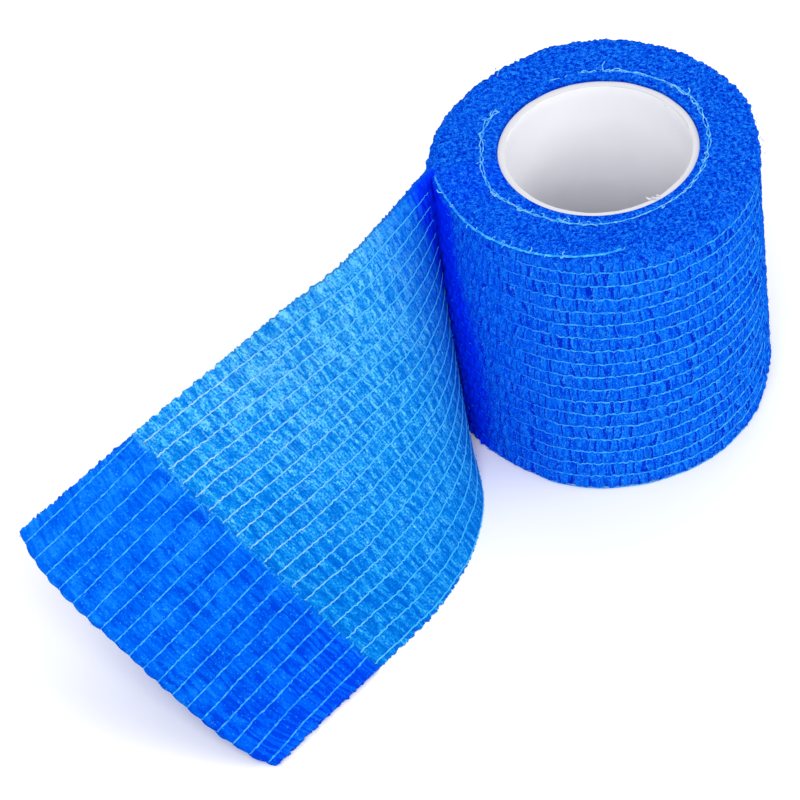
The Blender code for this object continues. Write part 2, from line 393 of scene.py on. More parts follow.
loose = {
    # along, foot x and y, top x, y and z from the roll's axis, push of the middle towards the roll
    "rows": (
        (12, -24.9, -14.4, -33.9, -9, 48.8, 2),
        (24, -24.1, -25.9, -42, -15.9, 45.8, 1),
        (36, -26.5, -36, -51.8, -18.2, 39.9, 0),
        (50, -32.5, -46.9, -63, -20.9, 32.6, -0.3),
        (66, -42.8, -58.1, -76.2, -30.2, 29.7, -0.3),
        (78, -51.9, -66.9, -85.6, -38.9, 29, -0.3),
        (90, -60.7, -75.9, -95.5, -47.3, 27.8, -0.2),
    ),
    "length": 90,           # to the fold
    "thickness": 0.7,
    "thinsOver": 12,
    "foldGap": 0.22,
    "foldSpan": 1.7,
    "foldBulge": 2.7,
    "foldSquareness": 4.8,
    "foldScallop": 0.22,
    "flap": 22.5,
    "stretchStart": 60,
    "step": 0.28,
    "foldSteps": 9,
    "rowsPerBand": 5,
    "edgeFrill": 0.36,
    "frillReach": 1.6,      # from the edges inwards
    "cutJag": 0.32,
    "valley": 3.2,          # the inner face is painted in shade this far from the roll
    "lightUntil": (3, 25),  # the single layer is painted lighter, as light shines through it, from the first to the second
}
# how the cloth puckers: height of the bands, height and pitch of the cross ridges, how far
# the ridges hold their line across the strip, and how uneven they are
puckers = {
    "roll": {"puff": 0.30, "ridge": 0.26, "pitch": 0.66, "hold": 0.14, "uneven": 0.5},
    "inner": {"puff": 0.12, "ridge": 0.20, "pitch": 0.62, "hold": 0.34, "uneven": 0.8},
    "flap": {"puff": 0.11, "ridge": 0.18, "pitch": 0.70, "hold": 0.22, "uneven": 0.8},
}

cornerFall = 0.29       # a rounded corner falls back by this share of its radius
bandPitch = strip["width"] / strip["bands"]
turnLength = 2 * math.pi * wound["topRadius"]
flapStart = loose["length"] + loose["foldSpan"]
stripEnd = flapStart + loose["flap"]
coverStart = loose["length"] - loose["flap"]     # where the flap lies over the strip
halfGap = loose["foldGap"] / 2


def clamp(value, low=0, high=1):
    return min(max(value, low), high)


def smooth(value):
    value = clamp(value)
    return value * value * (3 - 2 * value)


def between(first, second, share):
    return first + (second - first) * share


def tremble(x, y, seed):
    return noise.noise(Vector((x, y, seed)))


def threadShift(u):
    # the threads drift towards the upper edge on the loose end, and more so on the flap
    drift = smooth((u - 20) / 50) + 0.2 * smooth((u - 66) / 24)
    return drift + 1.3 * clamp((u - flapStart) / loose["flap"])


def threadCount(u, v):
    # how many threads lie below this place on the strip
    return (v - threadShift(u)) / bandPitch


def pucker(u, v, look):
    # height over the thread lines, and 0 in a crease to 1 on a crest
    line = threadCount(u, v)
    band = math.floor(line)
    rise = math.sin(math.pi * (line - band)) ** 0.6
    drift = u + 0.45 * tremble(u / 4, v / 1.6, 31)
    pitch = look["pitch"]
    broad = tremble(drift / pitch, band * 4.73 + v * look["hold"], 5)
    narrow = tremble(drift / (0.52 * pitch), band * 8.31 + v * 2 * look["hold"], 17)
    ridge = clamp(0.3 + 2.6 * broad + 1.4 * narrow, -1, 1)
    lively = 1 - look["uneven"] * (0.5 - 0.9 * tremble(u / 6, v / 4.5, 43))
    height = look["puff"] * rise + look["ridge"] * lively * (0.3 + 0.7 * rise) * ridge
    return height, clamp(0.5 + 0.5 * ridge * lively) * (0.75 + 0.25 * rise)


def blendPuckers(u, v, first, second, share):
    if share <= 0:
        return pucker(u, v, puckers[first])
    after = pucker(u, v, puckers[second])
    if share >= 1:
        return after
    return [between(a, b, share) for a, b in zip(pucker(u, v, puckers[first]), after)]


def outerPucker(u, v):
    # drawn out, the cloth puckers less than on the roll
    if u < 40:
        return blendPuckers(u, v, "roll", "inner", smooth((u - 2) / 16))
    return blendPuckers(u, v, "inner", "flap", smooth((u - 84) / 8))


def innerPucker(u, v):
    return blendPuckers(u, v, "inner", "flap", smooth((u - coverStart + 1) / 2))


def readTable(table, angle):
    for (a, first), (b, second) in zip(table, table[1:]):
        if angle <= b:
            return between(first, second, smooth((angle - a) / (b - a)))
    return table[-1][1]


def leavingAt(share):
    # degrees round the roll where the loose end leaves it, so far up
    return between(wound["leavingBase"], wound["leavingTop"], share)


def rollRadius(turned, share):
    # the roll's side at its thread lines
    radius = between(wound["baseRadius"], wound["topRadius"], share)
    radius += strip["layer"] * smooth((turned - 360 + wound["lastTurnRise"]) / wound["lastTurnRise"])
    angle = (turned + leavingAt(share)) % 360
    radius += between(readTable(wound["baseShape"], angle), readTable(wound["topShape"], angle), share)
    return radius + wound["uneven"] * math.cos(math.radians(3 * turned)) - strip["bandPuff"]


def polar(angle, radius):
    angle = math.radians(angle)
    return radius * math.cos(angle), radius * math.sin(angle)


def around(turned, share, radius):
    # a place so far round the roll and up it
    return Vector((*polar(turned + leavingAt(share), radius), strip["width"] * share))


def sidePlace(u, v, lift):
    # a place of the strip's last turn, on the roll's side
    turned, share = 360 + u * 360 / turnLength, v / strip["width"]
    return around(turned, share, rollRadius(turned, share) + lift)


# the loose end's rows start on the roll, and a smooth curve runs through them
rollFoot, rollTop = (around(0, share, rollRadius(0, share)) for share in (0, 1))
looseRows = ((0, *rollFoot.xy, *rollTop, 0),) + loose["rows"]
rowSpans = [after[0] - before[0] for before, after in zip(looseRows, looseRows[1:])]
rowSlopes = [[(b - a) / span for a, b in zip(before[1:], after[1:])]
             for before, after, span in zip(looseRows, looseRows[1:], rowSpans)]
rowTangents = [[(a * right + b * left) / (left + right) for a, b in zip(before, after)]
               for left, right, before, after in zip(rowSpans, rowSpans[1:], rowSlopes, rowSlopes[1:])]
rowTangents.insert(0, [2 * near - far for near, far in zip(rowSlopes[0], rowTangents[0])])
rowTangents.append(rowSlopes[-1])


def rowAt(along):
    # foot, top and push of the line across the strip so far along
    if along >= looseRows[-1][0]:
        beyond = along - looseRows[-1][0]
        values = [value + slope * beyond for value, slope in zip(looseRows[-1][1:], rowSlopes[-1])]
    else:
        index = max(i for i in range(len(rowSpans)) if i == 0 or looseRows[i][0] <= along)
        span = rowSpans[index]
        t = (along - looseRows[index][0]) / span
        a, b = 2 * t**3 - 3 * t**2 + 1, (t**3 - 2 * t**2 + t) * span
        c, d = 3 * t**2 - 2 * t**3, (t**3 - t**2) * span
        values = [a * p + b * m + c * q + d * n
                  for p, q, m, n in zip(looseRows[index][1:], looseRows[index + 1][1:],
                                        rowTangents[index], rowTangents[index + 1])]
    return Vector((values[0], values[1], 0)), Vector(values[2:5]), values[5]


def looseFace(along, share):
    # a place on the face that looks towards the roll, the way along the strip, and the way out
    foot, top, push = rowAt(along)
    nextFoot, nextTop, nextPush = rowAt(along + 0.5)
    bow = 4 * share * (1 - share)
    towardsRoll = (top - foot).cross(nextFoot + nextTop - foot - top).normalized()
    place = foot.lerp(top, share) + towardsRoll * (push * bow)
    onwards = nextFoot.lerp(nextTop, share) + towardsRoll * (nextPush * bow) - place
    across = top - foot + towardsRoll * (push * 4 * (1 - 2 * share))
    heading = onwards.normalized()
    return place, heading, across.cross(heading).normalized()


def endReach(share, v):
    # how far the fold reaches past or short of the last row: round, and dipping at the threads
    line = threadCount(loose["length"], v)
    depth = 1 + tremble(math.floor(line) * 2.7, 6, 35)
    scallop = abs(math.sin(math.pi * line)) ** 0.7 * depth
    bulge = loose["foldBulge"] * (1 - abs(2 * share - 1) ** loose["foldSquareness"])
    return bulge + loose["foldScallop"] * scallop - loose["thickness"] - halfGap


def loosePlace(u, share, reach, v):
    # out along the strip, round the fold and back on the flap, so far from the fold's middle
    if u <= loose["length"]:
        along, turn = u, -90
    elif u < flapStart:
        along, turn = loose["length"], -90 + 180 * (u - loose["length"]) / loose["foldSpan"]
    else:
        along, turn = loose["length"] - (u - flapStart), 90
    stretch = (along - loose["stretchStart"]) / (loose["length"] - loose["stretchStart"])
    place, heading, square = looseFace(along + endReach(share, v) * smooth(stretch), share)
    way = math.radians(turn)
    spoke = heading * math.cos(way) + square * math.sin(way)
    return place + square * halfGap + spoke * reach


trims = {}


def floorTrim(u, reach):
    # share of the width that the floor takes off where the strip leans
    key = (round(u, 2), round(reach, 1))
    if key not in trims:
        foot = loosePlace(u, 0, reach, 0).z
        top = loosePlace(u, 1, reach, strip["width"]).z
        trims[key] = max(-foot, 0) / (top - foot)
    return trims[key]


def trimmedPlace(u, v, trimReach, reach):
    # on the loose end, with the strip narrower where it would go through the floor
    trim = floorTrim(u, trimReach)
    place = loosePlace(u, trim + v / strip["width"] * (1 - trim), reach, v)
    place.z = max(place.z, 0)
    return place


def outerPoint(u, v, lift, ridges=True):
    # the strip's outer face: round the roll, out along the loose end, round the fold, on the flap
    height = (outerPucker(u, v)[0] if ridges else 0) + lift
    if u < 0:
        return sidePlace(u, v, height)
    thickness = between(strip["layer"], loose["thickness"], smooth(u / loose["thinsOver"]))
    if u > flapStart:
        thickness -= 0.25 * smooth((u - stripEnd + 4) / 4)
    reach = halfGap + thickness
    return trimmedPlace(u, v, reach, reach + height)


def innerPoint(u, v, lift, ridges=True):
    # the face that looks towards the roll, up to the fold, and inside the fold
    if u < 0:
        return sidePlace(u, v, -0.6 * strip["layer"])
    height = (innerPucker(u, v)[0] if ridges else 0) + lift
    hidden = smooth((u - coverStart - 1) / 2)
    reach = halfGap - height * (1 - 0.8 * hidden)
    if u > flapStart:
        reach = halfGap - 0.12 * smooth((u - stripEnd + 4) / 4)
    return trimmedPlace(u, v, halfGap, reach)


def onRoll(place):
    return (place + Vector((wound["x"], wound["y"], 0))) * mm


def selectParts(kind, wanted):
    # in edit mode, selects the edges or faces that wanted says yes to
    bpy.ops.object.mode_set(mode="EDIT")
    bpy.ops.mesh.select_mode(type=kind)
    bpy.ops.mesh.select_all(action="DESELECT")
    bpy.ops.object.mode_set(mode="OBJECT")
    mesh = bpy.context.object.data
    for part in mesh.edges if kind == "EDGE" else mesh.polygons:
        part.select = wanted(part)
    bpy.ops.object.mode_set(mode="EDIT")


def edgeEnds(edge):
    return [bpy.context.object.data.vertices[index].co for index in edge.vertices]


def uprightEdges(height, beyond=0):
    # says yes to the edges that run up a wall, further from the axis than that
    def wanted(edge):
        low, high = edgeEnds(edge)
        return abs(low.z - high.z) > 0.5 * height * mm and low.xy.length > beyond
    return wanted


def nameObject(name):
    made = bpy.context.object
    made.name = name
    made.data.name = name
    return made


def pick(*pieces):
    # selects these alone, and makes the first one active
    selectNothing()
    for piece in pieces:
        piece.select_set(True)
    bpy.context.view_layer.objects.active = pieces[0]


def settle(piece, material, replaced="bandage", smoothAngle=60):
    piece.data.materials.clear()
    piece.data.materials.append(material)
    pick(piece)
    bpy.ops.object.shade_smooth_by_angle(angle=math.radians(smoothAngle))
    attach(piece, "root")
    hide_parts(replaced)
    print("made", piece.name, "-", len(piece.data.polygons), "faces")
    return piece


def addTube(name, columns, radius, wall, length):
    # an upright cylinder, whose ends are set in to the bore, which is bridged through
    selectNothing()
    bpy.ops.mesh.primitive_cylinder_add(
        vertices=columns, radius=radius * mm, depth=length * mm,
        end_fill_type="NGON", location=(0, 0, length / 2 * mm))
    bpy.ops.object.transform_apply(location=True, rotation=True, scale=True)
    tube = nameObject(name)
    selectParts("FACE", lambda face: abs(face.normal.z) > 0.9)
    bpy.ops.mesh.inset(thickness=wall * mm, use_even_offset=False)
    bpy.ops.mesh.bridge_edge_loops()
    return tube


def addThreads(name, lines, radius, material):
    # each line is a list of points and thicknesses; all become one mesh of thin threads
    curve = bpy.data.curves.new(name, "CURVE")
    curve.dimensions = "3D"
    curve.bevel_depth = radius * mm
    curve.bevel_resolution = 0
    curve.use_fill_caps = True
    for points in lines:
        spline = curve.splines.new("POLY")
        spline.points.add(len(points) - 1)
        for target, (point, thickness) in zip(spline.points, points):
            place = onRoll(point)
            target.co = (place.x, place.y, max(place.z, radius * thickness * mm), 1)
            target.radius = thickness
    made = bpy.data.objects.new(name, curve)
    bpy.context.collection.objects.link(made)
    pick(made)
    bpy.ops.object.convert(target="MESH")
    return settle(nameObject(name), material)


def endGrain(x, y):
    # the cut end: packed loops of fleece; height, and 0 in a pit to 1 on a loop
    worm = 1 - min(1, 2.6 * abs(tremble(x / 0.85, y / 0.85, 91)))
    lump = tremble(x / 0.6, y / 0.6, 57)
    broad = tremble(x / 3.2, y / 3.2, 23)
    return 0.16 * worm + 0.17 * lump + 0.10 * broad, clamp(0.25 + 0.45 * worm + 0.65 * lump)


def rimFrill(u, v):
    # the cloth's two edges stand out unevenly where they lie on the roll's rims
    near = smooth((v - strip["width"] + 3) / 2.5) + smooth((3 - v) / 2.5)
    return near * wound["frill"] * (tremble(u / 1.3, 1, 61) + 1.3 * tremble(u / 0.6, 2, 62))


def makeWoundRoll(material):
    step = 360 / wound["columns"]
    height = strip["width"]
    sideRadius, boreRadius = wound["topRadius"], wound["boreRadius"]
    wall = sideRadius - boreRadius
    roll = addTube("woundRoll", wound["columns"], sideRadius, wall, height)
    middle = 0.5 * (sideRadius + boreRadius) * mm

    def spokes(level):
        # says yes to the edges at that level that run from the bore to the rim
        def wanted(edge):
            inner, outer = sorted(edgeEnds(edge), key=lambda co: co.xy.length)
            flat = abs(inner.z - level) < 1e-6 and abs(outer.z - level) < 1e-6
            return flat and inner.xy.length < middle < outer.xy.length
        return wanted

    # rows are cut in the side and rings in both ends, and then every vertex goes to its place
    selectParts("EDGE", uprightEdges(height, middle))
    bpy.ops.mesh.subdivide(number_cuts=strip["bands"] * wound["rowsPerBand"] - 1)
    for level, rings in ((height * mm, wound["topRings"]), (0, wound["baseRings"])):
        selectParts("EDGE", spokes(level))
        bpy.ops.mesh.subdivide(number_cuts=rings - 1)
    bpy.ops.object.mode_set(mode="OBJECT")
    ridges, ends, shades, spots = [], [], [], []
    offset = Vector((*core["offset"], 0))
    for vertex in roll.data.vertices:
        # how far round the roll, up it and across its ends
        co = vertex.co / mm
        flat = co.xy.length
        angle = math.degrees(math.atan2(co.y, co.x)) - wound["leavingBase"]
        turned = round(angle / step) * step % 360
        u, v = (turned - 360) / 360 * turnLength, clamp(co.z, 0, height)
        share, ring = v / height, (flat - boreRadius) / wall
        spots.append((turned, share, ring))
        radius = rollRadius(turned, share)
        if flat > sideRadius - 0.01:
            puff, ridge = outerPucker(u, v)
            puff += rimFrill(u, v)
            top, base = clamp(1 - (height - v) / wound["topRound"]), clamp(1 - v / wound["baseRound"])
            radius += puff * (1 - 0.5 * base)
            radius -= cornerFall * (wound["topRound"] * top**2 + wound["baseRound"] * base**2)
            place = around(turned, share, radius)
            place.z += cornerFall * (wound["baseRound"] * base**2 - wound["topRound"] * top**2)
            onEnd = smooth(1.3 * top + 0.3 * tremble(u / 1.5, 3, 8))
            if top > 0:
                grain, loop = endGrain(place.x, place.y)
                ridge = between(ridge, loop, onEnd)
                place.z += grain * top * 0.6
        elif flat < boreRadius + 0.05:
            place, ridge, onEnd = around(turned, share, boreRadius) + offset, 0.3, 1
        else:
            puff = outerPucker(u, v)[0] + 2 * rimFrill(u, v) * ring**6
            radius = boreRadius + ring * (radius + 0.5 * puff - boreRadius)
            place = around(turned, share, radius) + offset * (1 - ring)
            grain, ridge = endGrain(place.x, place.y + (0 if share > 0.5 else 90))
            nearBore = smooth(ring * wall / 0.6)
            onEnd = 1
            if share > 0.5:
                near = clamp(1 - (1 - ring) * wall / wound["topRound"])
                fall = cornerFall * wound["topRound"] * near**2
                place.z += grain * nearBore - wound["endSink"] - fall
                place -= Vector((place.x, place.y, 0)).normalized() * fall
            else:
                place.z = max(0, 0.12 - 0.6 * grain) * nearBore
        vertex.co = onRoll(place)
        ridges.append(ridge)
        ends.append(onEnd)
        # painted shade on the side beside the loose end, a fainter painted shade further round, and less of
        # it on the ends
        valley = between(*wound["valley"], smooth(2 * share - 0.7))
        darkest = wound["valleyShade"]
        shade = darkest * (1 - smooth((turned / valley - 0.55) / 0.4))
        shade += 0.28 * (1 - smooth(turned / wound["dimOver"]))
        shades.append(clamp(shade, 0, darkest) * (1 - 0.8 * onEnd))
    addMaps(roll, {"ridge": ridges, "onEnd": ends, "shade": shades}, rollStripPlace, spots, rollBakePlace)
    settle(roll, material)


def addValues(mesh, name, numbers):
    mesh.attributes.new(name, "FLOAT", "POINT").data.foreach_set("value", numbers)


def addMaps(piece, values, stripPlace, spots, bakePlace):
    # point values for the material, the strip's own coordinates, in centimetres and bands, and a
    # map without overlaps, for baking
    mesh = piece.data
    for name, numbers in values.items():
        addValues(mesh, name, numbers)
    while mesh.uv_layers:
        mesh.uv_layers.remove(mesh.uv_layers[0])
    for name in ("strip", "OFBake"):
        layer = mesh.uv_layers.new(name=name)
        for face in mesh.polygons:
            if name == "strip":
                places = stripPlace(mesh, face)
            else:
                places = bakePlace([spots[index] for index in face.vertices])
            for loop, place in zip(face.loop_indices, places):
                layer.data[loop].uv = place


def onOneTurn(turns):
    # the corners of a face across the seam are counted on past a whole turn
    if max(turns) - min(turns) > 180:
        return [t + 360 if t < 180 else t for t in turns]
    return turns


def rollStripPlace(mesh, face):
    centre = Vector((wound["x"], wound["y"])) * mm
    angles = [math.atan2(*(mesh.vertices[i].co.xy - centre).yx) for i in face.vertices]
    turns = onOneTurn([(math.degrees(a) - wound["leavingBase"] + 1) % 360 for a in angles])
    return [((t / 360 - 1) * turnLength / 10, mesh.vertices[i].co.z / mm / bandPitch)
            for t, i in zip(turns, face.vertices)]


def rollBakePlace(spots):
    # the side in two rows, the bore over them, and both ends unrolled in columns beside them
    turns = onOneTurn([spot[0] for spot in spots])
    half = 1 if min(turns) > 179.9 else 0
    alongs = [t / 180 - half for t in turns]
    heights, rings = [spot[1] for spot in spots], [spot[2] for spot in spots]
    if min(rings) > 0.99:
        return [(0.005 + 0.70 * a, 0.005 + 0.44 * half + 0.43 * h) for a, h in zip(alongs, heights)]
    if max(rings) < 0.01:
        return [(0.005 + 0.35 * (a + half), 0.885 + 0.11 * h) for a, h in zip(alongs, heights)]
    if max(heights) > 0.5:
        return [(0.715 + 0.093 * half + 0.085 * r, 0.005 + 0.6 * a) for a, r in zip(alongs, rings)]
    return [(0.905 + 0.085 * r, 0.005 + 0.3 * (a + half)) for a, r in zip(alongs, rings)]


def looseBakePlace(spots):
    # the outer face, the inner face over it, and then the four thin edges
    alongs, acrosses, outers = zip(*spots)
    rows, height = outers, 0.012
    if min(outers) == max(outers):
        rows, height, low = acrosses, 0.43, 0.005 if outers[0] else 0.445
    elif max(acrosses) - min(acrosses) < 1e-6:
        low = 0.885 if acrosses[0] < 0.5 else 0.905
    else:
        alongs, low = acrosses, 0.925 if alongs[0] < 0.5 else 0.945
    return [(0.005 + 0.99 * a, low + height * b) for a, b in zip(alongs, rows)]


def looseStations():
    # two that lie on the roll, and then those of the strip, its fold and the flap
    stations = [-0.6, -0.3]
    for start, span, step in ((0, loose["length"], loose["step"]),
                              (loose["length"], loose["foldSpan"], loose["foldSpan"] / loose["foldSteps"]),
                              (flapStart, loose["flap"], loose["step"])):
        count = round(span / step)
        stations += [start + span * i / count for i in range(count)]
    return stations + [stripEnd]


def cutJag(v):
    # how far each band's cut end runs past the line, or falls short of it
    line = threadCount(stripEnd, v)
    band = math.floor(line)
    tooth = (line - band - 0.5) * 0.5 + tremble(band * 3.7, 2, 66)
    return loose["cutJag"] * (tooth + 0.8 * tremble(v / 0.6, 7, 12))


def makeLooseEnd(material):
    stations = looseStations()
    rows = strip["bands"] * loose["rowsPerBand"]
    columns = len(stations) - 1
    selectNothing()
    # a flat strip is given its thickness, and then laid on its folds
    bpy.ops.mesh.primitive_grid_add(x_subdivisions=columns, y_subdivisions=rows, size=2)
    piece = nameObject("looseEnd")
    thicken = piece.modifiers.new("thickness", "SOLIDIFY")
    thicken.thickness = 0.1
    thicken.offset = 0
    bpy.ops.object.modifier_apply(modifier=thicken.name)
    ridges, doubles, shades, pales, nears, flatPlaces, spots = [], [], [], [], [], [], []
    for vertex in piece.data.vertices:
        station = round((vertex.co.x + 1) / 2 * columns)
        v = (vertex.co.y + 1) / 2 * strip["width"]
        outer = vertex.co.z > 0
        u = stations[station]
        spots.append((station / columns, v / strip["width"], outer))
        flatPlaces.append((u / 10, threadCount(u, v) + (0 if outer else 30)))
        # painted light shining through the single layer: more towards the upper edge, less far out along the
        # strip
        pales.append(clamp(0.15 + 0.85 * v / strip["width"] - 0.35 * smooth((u - 45) / 20)))
        if u > stripEnd - 3:
            u += cutJag(v) * smooth((u - stripEnd + 3) / 3)
        # the two long edges are frilled
        frill = loose["edgeFrill"] * (tremble(u / 1.1, 4, 77) + 1.2 * tremble(u / 0.42, 9, 78))
        if 2 < u < 110:
            frill += 0.25 * smooth((v - 40) / 8) * smooth((u - 8) / 20)
            reach = loose["frillReach"]
            v += frill * (smooth((v - strip["width"] + reach) / reach) - smooth((reach - v) / reach))
        if outer:
            vertex.co = onRoll(outerPoint(u, v, 0.03 if -0.5 < u < 0.3 else min(u, 0) / 12))
            ridges.append(outerPucker(u, v)[1])
            # less of the painted light on the outer face before the fold
            pales[-1] *= 0.5 + 0.5 * smooth((u - 82) / 10)
            # painted shade low on the flap
            shades.append(0.2 * (1 - smooth(v / 19)) * smooth((u - flapStart + 2) / 2))
            nears.append(1 - smooth((u - 3) / 15))
            thinning = 1 - 0.55 * smooth((u - stripEnd + 1.3) / 1.3)
            doubles.append(max(smooth((u - coverStart + 0.6) / 1.2) * thinning,
                               1 - 0.9 * smooth((u - 6) / 16)))
        else:
            vertex.co = onRoll(innerPoint(u, v, 0))
            ridges.append(innerPucker(u, v)[1])
            # painted shade in the crease beside the roll; further out the single layer is painted lighter,
            # as light shines through it
            valley = loose["valley"] * (1 + 1.6 * v / strip["width"])
            nears.append(0)
            shades.append(0.85 * (1 - smooth((u / valley - 0.5) / 0.5)))
            darkEnd, lightStart = loose["lightUntil"]
            light = smooth((u - darkEnd) / (lightStart - darkEnd))
            doubles.append(max(1 - 0.95 * light, smooth(u - coverStart - 0.4)))

    def stripPlace(mesh, face):
        return [flatPlaces[index] for index in face.vertices]

    values = {"ridge": ridges, "doubled": doubles, "shade": shades, "pale": pales, "nearRoll": nears}
    addMaps(piece, values, stripPlace, spots, looseBakePlace)
    return settle(piece, material)


# the elastic threads
threads = {
    "radius": 0.14,
    "looseRadius": 0.132,
    "step": 0.28,
    "wander": 0.20,         # slow, and then the crinkle of the puckers
    "crinkle": 0.31,
    "litFrom": 26,          # degrees round the roll where they come out of the shade, and over how many
    "fadeOver": 50,
    "bareFrom": 14,
}


def threadLine(number, point, start, end):
    # one elastic thread in the groove between two bands: thin in the shade beside the loose end,
    # and crinkled on the roll, less so along the loose end
    points = []
    for i in range(int((end - start) / threads["step"]) + 1):
        u = start + threads["step"] * i
        lift, crinkle, bare = 0.11, 0.55, smooth(u / threads["bareFrom"])
        if point is outerPoint:
            bare = smooth((360 + u * 360 / turnLength - threads["litFrom"]) / threads["fadeOver"])
            lift = 0.03 + 0.1 * bare - 0.04 * smooth((u - 86) / 4)
            crinkle = 1 - 0.7 * smooth(u / 15)
        kink = 0.7 * tremble(u, number * 3.1, 71) + 1.1 * tremble(u / 0.45, number * 2.3, 72)
        v = number * bandPitch + threadShift(u) + threads["wander"] * tremble(u / 6, number * 1.7, 70)
        v = clamp(v + threads["crinkle"] * crinkle * kink, 0.2, strip["width"] - 0.15)
        rise = lift + 0.10 * crinkle * tremble(u / 0.9, number * 5, 73)
        thickness = 0.95 + 0.42 * tremble(u, number * 4, 74)
        thickness *= 0.5 + 0.5 * bare
        points.append((point(u, v, rise, False), thickness))
    return points


def rollShade(place):
    # painted shade on the roll's threads: from just past the loose end, round the roll, and a little way on
    # to the loose end
    turned = (math.degrees(math.atan2(place.y, place.x)) - wound["leavingBase"] - 8) % 360 + 8
    return 1 - smooth((turned - threads["litFrom"]) / threads["fadeOver"])


def rollNearness(place):
    # on the back of the loose end the threads are as on the roll at first
    return 1 - smooth(((place - around(0, 0.5, wound["topRadius"])).xy.length - 4) / 16)


def looseShade(place):
    # on the single layer they get duller towards the roll, in painted shade
    return smooth((place.x + 68) / 36)


def makeThreads(finishes):
    runs = (
        ("rollThreads", outerPoint, -turnLength + 6, 2, "radius", "rollThread", rollShade),
        ("backThreads", outerPoint, 1.8, coverStart - 0.3, "radius", "backThread", rollNearness),
        ("flapThreads", outerPoint, coverStart - 0.5, stripEnd + 0.2, "looseRadius", "rollThread", None),
        ("frontThreads", innerPoint, 2.5, coverStart + 1.2, "looseRadius", "looseThread", looseShade),
    )
    made = []
    centre = Vector((wound["x"], wound["y"], 0))
    for name, point, start, end, radius, finish, shadeAt in runs:
        lines = [threadLine(number, point, start, end) for number in range(strip["bands"])]
        made.append(addThreads(name, lines, threads[radius], finishes[finish]))
        if shadeAt:
            places = [vertex.co / mm - centre for vertex in made[-1].data.vertices]
            addValues(made[-1].data, "shade", [shadeAt(place) for place in places])
    return made[1:]


# the frayed threads on the upper end
fray = {
    "radius": 0.10,
    "edgeRadius": 0.15,
    "step": 0.9,            # degrees
    "shortEnds": 64,
    "endStep": 0.22,
    # angle round the roll and distance from its axis, of the pulled thread round the core
    "ring": ((142.5, 18.4), (147, 18.9), (158, 18.9), (172, 18.3), (201, 18.8), (222, 18.1),
             (236, 17.8), (263, 17.7), (295, 17.3), (339, 17.4), (361, 17.6), (392, 18.3),
             (426, 18.3), (470, 17.9)),
    # and of the edge thread, from the loose end to where it breaks off
    "edge": ((184, 26), (199, 25.7), (212, 25.8), (221, 25.8), (233, 25.6), (243, 25.4),
             (254, 25), (264, 24.5), (272.5, 23.8)),
    # angle, distance and lift of the hook, of small loops behind the core, and of two stray ends
    "strays": (
        ((37.4, 17.9, 0.25), (35.5, 17.9, 0.3), (33.7, 17.9, 0.3), (32.1, 18.1, 0.3), (32.3, 18.7, 0.3),
         (33.2, 19.2, 0.3), (34.8, 19.4, 0.3)),
        ((77.5, 17.8, 0.2), (75.6, 18.3, 0.25), (74, 18.7, 0.3), (72.4, 18.6, 0.3), (71, 18.2, 0.25),
         (70.6, 17.8, 0.2)),
        ((92, 18, 0.2), (90.4, 18.4, 0.25), (88.6, 18.1, 0.3), (87.6, 17.6, 0.3), (86, 17.8, 0.25),
         (84.8, 18.2, 0.2)),
        ((125.3, 24.1, 0), (125, 24.1, 0.4), (124.3, 24.1, 0.8), (123.8, 24.1, 1.1)),
        ((80.5, 18.2, 0.3), (81, 19.2, 0.3), (80, 20.2, 0.3)),
    ),
}


def onEndFace(angle, radius, lift):
    x, y = polar(angle, radius)
    grain = endGrain(x, y)[0]
    rim = wound["topRadius"] - radius
    drop = cornerFall * wound["topRound"] * clamp(1 - rim / wound["topRound"]) ** 2
    return Vector((x, y, strip["width"] - wound["endSink"] + grain * 0.6 - drop + lift))


def ringPoint(angle, radius, strand):
    # its two strands chain round each other in places, and behind the core it sinks in
    chain = 1 if angle < 262 or 305 < angle < 392 else 0.25
    wave = math.sin((angle * 0.115 + strand) * math.pi + 2 * tremble(angle / 9, strand, 3))
    waver = tremble(angle / 2.5, strand * 5, 14)
    behind = smooth((angle - 432) / 12)
    sunk = 0.4 * behind * clamp(0.5 + 2 * tremble(angle / 3.4, strand * 3.3, 19))
    radius = radius + chain * 0.26 * wave + (0.2 + 0.4 * behind) * waver
    return onEndFace(angle, radius, 0.14 + 0.1 * wave - sunk), 0.9 + 0.4 * waver


def edgePoint(angle, radius, strand):
    # the edge thread is thin where it leaves the loose end
    wave = math.sin(angle * 0.16 * math.pi + strand * math.pi)
    radius = radius + 0.10 * wave + 0.12 * tremble(angle / 2, strand, 24)
    thickness = 0.7 + 0.5 * smooth((angle - 190) / 40) + 0.3 * tremble(angle, strand, 25)
    return onEndFace(angle, radius, 0.10 + 0.06 * wave), thickness


def pulledThread(table, pointAt, strand):
    # one strand of a thread that follows a table of angles and distances
    points = []
    angle = table[0][0]
    while angle < table[-1][0]:
        points.append(pointAt(angle, readTable(table, angle), strand))
        angle += fray["step"]
    return points


